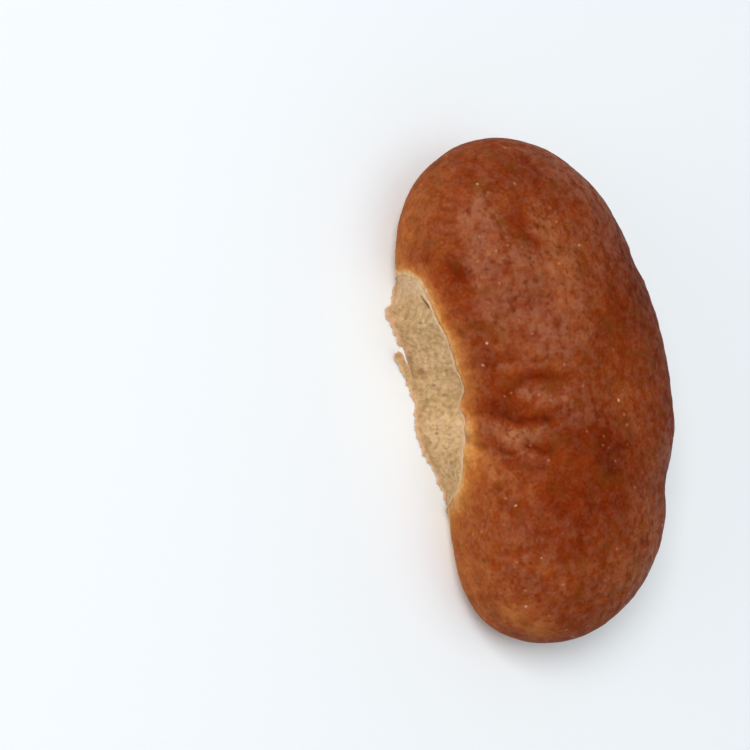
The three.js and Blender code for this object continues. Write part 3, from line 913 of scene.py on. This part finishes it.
def make_peeled_strip():
    """A strip of skin peeled off the foot of the crumb: a flat oval profile carried along a curve,
    widening to a ragged end."""
    knots = np.array(STRIP_PATH)
    along = inner_shares(STRIP_STATIONS)[:, 0]
    knot_at = np.linspace(0, 1, len(knots))
    station, across, height = (np.interp(along, knot_at, knots[:, axis]) for axis in range(3))
    middle = bend(station, section_at(station), across, height)
    forward = unit(np.gradient(middle, axis=0))
    wide = unit(np.cross(forward, STRIP_FACES))
    thick = np.cross(wide, forward)
    angle = shares(STRIP_COLUMNS)[0] * math.tau
    by, waves, row = STRIP_RAGGED
    width = STRIP_WIDTH * mix(STRIP_ROOT, 1, smooth(along * STRIP_WIDENS))
    width = width * (1 + by * unevenness(along * waves, row))
    width = width * np.sqrt(np.minimum(1, (1 - along) * STRIP_CLOSES))
    oval = (np.cos(angle)[None, :, None] * width[:, None, None] * wide[:, None] / 2
            + np.sin(angle)[None, :, None] * STRIP_THICKNESS * thick[:, None] / 2)
    corners = (np.abs(np.cos(angle)) - 0.5)[None]
    forked = STRIP_FORK * corners * eased(along, FORK_FROM, 1 - FORK_FROM)[:, None]
    points = middle[:, None] + oval + forked[..., None] * forward[:, None]
    points = points + uneven(points, STRIP_LUMPS)[..., None] * thick[:, None]
    points[..., 2] = np.maximum(points[..., 2], FLOOR_GAP)
    return torn_skin("peeled_strip", points, np.abs(np.cos(angle)) ** 4, (middle[0], middle[-1]))


# ---- materials
def srgb(red, green, blue):
    """A colour as seen on a screen, 0 to 255, as the linear values that a shader takes."""
    values = np.array([red, green, blue]) / 255
    linear = np.where(values <= 0.04045, values / 12.92, ((values + 0.055) / 1.055) ** 2.4)
    return (*map(float, linear), 1.0)


class Looks:
    """A material and short calls for its nodes; each call returns the node's output socket. Sizes are in
    millimetres and colours are (red, green, blue) as srgb takes them."""

    def __init__(self, name):
        self.material = bpy.data.materials.new(name)
        self.material.use_nodes = True
        self.tree = self.material.node_tree
        self.shader = self.tree.nodes["Principled BSDF"]
        self.place = self.node("TexCoord").outputs["Object"]

    def node(self, kind, inputs=None, **settings):
        made = self.tree.nodes.new("ShaderNode" + kind)
        for key, value in settings.items():
            setattr(made, key, value)
        self.feed(made, inputs or {})
        return made

    def feed(self, made, inputs):
        for key, value in inputs.items():
            if isinstance(value, bpy.types.NodeSocket):
                self.tree.links.new(value, made.inputs[key])
            else:
                made.inputs[key].default_value = value

    def attribute(self, name):
        return self.node("Attribute", attribute_name=name).outputs["Fac"]

    def noise(self, size, detail=1.0, distortion=0.0, roughness=0.5, output="Fac"):
        """Noise whose lumps are about size wide."""
        inputs = {"Vector": self.place, "Scale": 1 / (size * MM), "Detail": detail,
                  "Roughness": roughness, "Distortion": distortion}
        return self.node("TexNoise", inputs).outputs[output]

    def stirred(self, size, by):
        """The place moved by up to by, by noise with lumps of a size."""
        inputs = {0: self.noise(size, output="Color"), 1: (2 * by * MM,) * 3, 2: self.place}
        return self.node("VectorMath", inputs, operation="MULTIPLY_ADD").outputs[0]

    def cells(self, size, output="Distance"):
        """Cells about size apart, with uneven outlines."""
        inputs = {"Vector": self.stirred(0.6 * size, 0.08 * size), "Scale": 1 / (size * MM)}
        return self.node("TexVoronoi", inputs).outputs[output]

    def math(self, operation, a, b, clamp=False):
        return self.node("Math", {0: a, 1: b}, operation=operation, use_clamp=clamp).outputs[0]

    def times(self, a, b, clamp=False):
        return self.math("MULTIPLY", a, b, clamp)

    def plus(self, a, b, clamp=False):
        return self.math("ADD", a, b, clamp)

    def between(self, value, low, high, to_low=0.0, to_high=1.0):
        """value from low..high to to_low..to_high, smoothly and clamped."""
        inputs = {"Value": value, "From Min": low, "From Max": high, "To Min": to_low, "To Max": to_high}
        return self.node("MapRange", inputs, interpolation_type="SMOOTHSTEP").outputs[0]

    def waver(self, size, by, detail=1.0, distortion=0.0):
        """Noise from -by to by."""
        return self.between(self.noise(size, detail, distortion), 0.3, 0.7, -by, by)

    def patches(self, size, most, distortion=0.0, full=0.75, bare=0.5):
        """Patches where noise is high: 0 below bare, growing to most at full."""
        return self.between(self.noise(size, distortion=distortion), bare, full, 0, most)

    def specks(self, size, spread, chosen):
        """Spots round the middles of cells size apart: 1 inside, fading over spread, the shares of a
        cell's width; chosen is the share of cells that get one."""
        spot = self.between(self.cells(size), spread[0], spread[1], 1, 0)
        return self.times(spot, self.between(self.cells(size, "Color"), 1 - chosen, 1.02 - chosen))

    def ramp(self, value, stops):
        """A colour ramp through (place, colour) stops."""
        made = self.node("ValToRGB", {"Fac": value})
        elements = made.color_ramp.elements
        while len(elements) < len(stops):
            elements.new(0.5)
        for element, (place, colour) in zip(elements, stops):
            element.position = place
            element.color = srgb(*colour)
        return made.outputs["Color"]

    def blend(self, share, a, b):
        made = self.node("Mix", data_type="RGBA")
        self.feed(made, {0: share, 6: a, 7: b})
        return made.outputs[2]

    def coats(self, colour, *coats):
        """The colour under coats of other colours, laid on in turn, each with its share."""
        for share, over in coats:
            colour = self.blend(share, colour, srgb(*over))
        return colour

    def bump(self, height, strength, distance, below=None):
        inputs = {"Height": height, "Strength": strength, "Distance": distance * MM}
        if below is not None:
            inputs["Normal"] = below
        return self.node("Bump", inputs).outputs[0]

    def finish(self, **inputs):
        self.feed(self.shader, {key.replace("_", " "): value for key, value in inputs.items()})
        return self.material


# Ramps of the bare crust and of the paler skin over it, which also carries the painted sheen, from the palest
# to the brownest.
DEEP_CRUST = (
    (0, (214, 174, 118)), (0.16, (204, 144, 80)), (0.34, (178, 103, 45)), (0.5, (155, 80, 35)),
    (0.64, (131, 54, 15)), (0.8, (110, 33, 0)), (1, (66, 20, 2)),
)
PALE_CRUST = (
    (0, (222, 186, 136)), (0.3, (190, 125, 75)), (0.5, (165, 101, 66)), (0.66, (151, 92, 67)),
    (0.85, (139, 83, 62)),
)
REDDISH = (146, 52, 12)
OLIVE = (112, 64, 16)
HOLLOW_BROWN = (102, 34, 2)
VALLEY_SHADE_BROWN = (104, 31, 0)
PIT_BROWN = (88, 34, 8)
SMALL_PIT_BROWN = (94, 36, 8)
LONE_PIT_BROWN = (92, 34, 8)
LONE_FLECK = (220, 152, 116)
SPECK = (198, 126, 88)
PALE_SPECK = (226, 178, 140)
BASE_BROWNS = ((0.3, (150, 96, 50)), (0.5, (182, 126, 74)), (0.7, (204, 154, 100)))
STUCK_CRUMBS = ((0.4, (190, 150, 100)), (0.6, (214, 176, 130)))
# Torn crumb.
CRUMB = ((0.3, (170, 133, 89)), (0.46, (190, 153, 107)), (0.54, (200, 163, 116)), (0.7, (214, 179, 136)))
PORE_TAN = (160, 126, 82)
PINKISH = (212, 168, 140)
OLIVE_CRUMB = (152, 120, 78)
OLIVE_SPOT = (138, 104, 62)
CRUMB_RIM = (226, 190, 158)
SLIT_SHADE_BROWN = (112, 82, 40)
BRAN_BROWN = (142, 92, 56)
PALE_FLOOR = (244, 249, 252)


def crust_looks():
    """Browned crust: deep brown in its hollows under a thin paler skin. How brown it is and how much skin
    lies over it follow the values painted on the mesh; the skin also stands for painted sheen and
    highlights on the lit slopes, bulges and rims. The skin thins and thickens in blotches two to
    three millimetres wide, more so where there is much of it. Over it come reddish and olive patches,
    dark hollows, painted shade in the valleys and creases, pits, a few pale specks, the base and the
    crumbs stuck by the tear."""
    looks = Looks("browned crust")
    browning_and_painted_light, skin_and_sheen, dots = (looks.attribute(name) for name in ("browning_and_painted_light", "skin_and_sheen", "dots"))
    tone = looks.plus(looks.plus(browning_and_painted_light, looks.waver(5, 0.05, detail=3)), looks.waver(1, 0.045, detail=2))
    uneven_here = looks.between(skin_and_sheen, 0, 0.45, 0.5, 1)
    marked = looks.times(looks.between(browning_and_painted_light, 0.3, 0.58, 0.15, 1), uneven_here)
    blotches = looks.plus(looks.waver(2.8, 0.34, detail=2, distortion=0.2), looks.waver(0.9, 0.13))
    # The skin's share, which also carries the painted sheen and highlights.
    share = looks.plus(skin_and_sheen, looks.times(blotches, uneven_here), clamp=True)
    hollows = looks.times(looks.patches(2.2, 0.65, distortion=0.2, full=0.76), marked)
    pits = looks.times(looks.specks(3.4, (0, 0.27), chosen=0.4), marked)
    small_pits = looks.times(looks.specks(2.3, (0, 0.26), chosen=0.35), marked)
    colour = looks.coats(
        looks.blend(looks.times(share, 0.9), looks.ramp(tone, DEEP_CRUST), looks.ramp(tone, PALE_CRUST)),
        (looks.patches(4.4, 0.35, distortion=0.4), REDDISH),
        (looks.patches(5.3, 0.4), OLIVE),
        (hollows, HOLLOW_BROWN),
        # Painted shade in the valleys and fine creases.
        (looks.times(looks.attribute("valley_shade"), looks.times(marked, 1.2), clamp=True), VALLEY_SHADE_BROWN),
        (looks.times(pits, 0.6), PIT_BROWN),
        (looks.times(small_pits, 0.5), SMALL_PIT_BROWN),
        (looks.between(dots, -0.8, -0.1, 0.6, 0), LONE_PIT_BROWN),
        (looks.between(dots, 0.1, 0.9, 0, 0.8), LONE_FLECK),
        (looks.times(looks.specks(4.3, (0.02, 0.17), chosen=0.4), 0.5), SPECK),
        (looks.times(looks.specks(9, (0.02, 0.07), chosen=0.6), 0.7), PALE_SPECK),
    )
    base = looks.ramp(looks.noise(4, detail=4, roughness=0.6), BASE_BROWNS)
    colour = looks.blend(looks.attribute("base"), colour, base)
    crumbs = looks.ramp(looks.noise(1.7, detail=3, roughness=0.6), STUCK_CRUMBS)
    colour = looks.blend(looks.between(looks.attribute("torn"), 0.05, 0.6), colour, crumbs)
    relief = looks.math("SUBTRACT", share, looks.plus(hollows, pits))
    normal = looks.bump(relief, strength=0.5, distance=0.35)
    normal = looks.bump(looks.noise(0.8), strength=0.35, distance=0.2, below=normal)
    roughness = looks.between(share, 0, 1, 0.66, 0.46)
    return looks.finish(Base_Color=colour, Roughness=roughness, Normal=normal, Specular_IOR_Level=0.04)


def crumb_looks():
    """Torn crumb: matt pale tan with soft pinkish and olive blotches, darker in its pores, with painted shade
    in its slits, a few brown bran flecks and a paler, pinkish rim."""
    looks = Looks("torn crumb")
    drawn = {0: looks.place, 1: CRUMB_STRETCH}
    looks.place = looks.node("VectorMath", drawn, operation="MULTIPLY").outputs[0]
    fine = looks.noise(1.2, detail=2, distortion=0.2)
    tone = looks.plus(looks.times(fine, 0.7), looks.times(looks.noise(6), 0.3))
    colour = looks.coats(
        looks.ramp(tone, CRUMB),
        (looks.times(looks.attribute("pore"), 0.4), PORE_TAN),
        (looks.patches(3, 0.4), PINKISH),
        (looks.patches(1.3, 0.6, distortion=0.2, full=0.74, bare=0.48), OLIVE_CRUMB),
        (looks.times(looks.specks(2.6, (0, 0.35), chosen=0.3), 0.45), OLIVE_SPOT),
        (looks.times(looks.attribute("rim"), 0.65), CRUMB_RIM),
        # Painted shade in the slits.
        (looks.times(looks.attribute("slit_shade"), 1.3, clamp=True), SLIT_SHADE_BROWN),
        (looks.times(looks.attribute("bran"), 0.6), BRAN_BROWN),
    )
    normal = looks.bump(looks.noise(0.9, detail=2, distortion=0.2), strength=0.25, distance=0.3)
    return looks.finish(
        Base_Color=colour, Roughness=0.95, Normal=normal, Specular_IOR_Level=0.15,
        Subsurface_Weight=0.15, Subsurface_Scale=0.002,
    )


def floor_looks():
    looks = Looks("pale floor")
    return looks.finish(Base_Color=srgb(*PALE_FLOOR), Roughness=0.9, Specular_IOR_Level=0.1)


# ---- stage
FLOOR_SIZE = 6.0
CAMERA_TILT = 35.0  # degrees from straight above, towards the torn side
CAMERA_TURN = 10.1  # degrees by which the roll leans in the picture
CAMERA_DISTANCE = 0.7
PICTURE_SIDE = 750
PIXELS_PER_METRE = 3401.0  # in the plane of the roll's middle
SENSOR = 36.0
AIM_ACROSS = -0.0379  # the picture's centre lies left of the roll and a little above its middle
AIM_UP = 0.0058
AIM_HEIGHT = 0.010
NEAREST_SEEN = 0.01
SURROUND = (0.95, 0.98, 1.0, 1.0)
SURROUND_STRENGTH = 0.32


def camera_axes():
    """Unit vectors to the picture's right, up the picture, and back towards the camera."""
    tilt, turn = math.radians(CAMERA_TILT), math.radians(CAMERA_TURN)
    back = Vector((0, -math.sin(tilt), math.cos(tilt)))
    right = Vector((0, math.cos(tilt), math.sin(tilt)))
    up = Vector((-1, 0, 0))
    return right * math.cos(turn) - up * math.sin(turn), right * math.sin(turn) + up * math.cos(turn), back


def make_floor():
    half = FLOOR_SIZE / 2
    mesh = bpy.data.meshes.new("floor")
    corners = [(-half, -half, 0), (half, -half, 0), (half, half, 0), (-half, half, 0)]
    mesh.from_pydata(corners, [], [(0, 1, 2, 3)])
    mesh.materials.append(floor_looks())
    placed("floor", mesh)


def make_camera():
    """Looks down on the roll from the torn side, turned so that the narrow end points up the picture."""
    right, up, back = camera_axes()
    middle = Vector((-ORIGIN[0], -ORIGIN[1], 0)) * MM + back * AIM_HEIGHT
    aim = middle + right * AIM_ACROSS + up * AIM_UP
    data = bpy.data.cameras.new("camera")
    data.sensor_width = SENSOR
    data.lens = PIXELS_PER_METRE * CAMERA_DISTANCE * SENSOR / PICTURE_SIDE
    data.clip_start = NEAREST_SEEN
    camera = placed("camera", data)
    turned = Matrix((right, up, back)).transposed().to_4x4()
    camera.matrix_world = Matrix.Translation(aim + back * CAMERA_DISTANCE) @ turned
    bpy.context.scene.camera = camera


def make_light(name, towards, distance, size, power):
    """A square soft light in a direction from the roll, facing the roll: metres and watts."""
    data = bpy.data.lights.new(name, "AREA")
    data.shape = "SQUARE"
    data.size = size
    data.energy = power
    light = placed(name, data)
    light.location = towards.normalized() * distance
    light.rotation_euler = light.location.to_track_quat("Z", "Y").to_euler()


def make_lights():
    """A soft key light near the camera, towards the top of the picture, a low one that reaches the torn
    side, a wide weak one from the right, and a pale surround."""
    right, up, back = camera_axes()
    make_light("key", back + up * 0.3, distance=2.4, size=1, power=35)
    make_light("torn side light", back * 0.9 - right, distance=2.6, size=2, power=17)
    make_light("right fill", back + right * 0.9, distance=3, size=2.4, power=17.5)
    world = bpy.data.worlds.new("studio")
    world.use_nodes = True
    background = world.node_tree.nodes["Background"]
    background.inputs["Color"].default_value = SURROUND
    background.inputs["Strength"].default_value = SURROUND_STRENGTH
    bpy.context.scene.world = world
    bpy.context.scene.view_settings.view_transform = "Standard"


# ---- scene
crust = make_crust()
crust.data.materials.append(crust_looks())
crumb_material = crumb_looks()
torn_pieces = [make_crumb(), make_foot_skin(), make_peeled_strip()]
for piece in torn_pieces:
    piece.data.materials.append(crumb_material)

for piece, slot in [(crust, "browned_crust")] + [(piece, "torn_crumb") for piece in torn_pieces]:
    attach(piece, "root")
    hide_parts("roll")

make_floor()
make_camera()
make_lights()
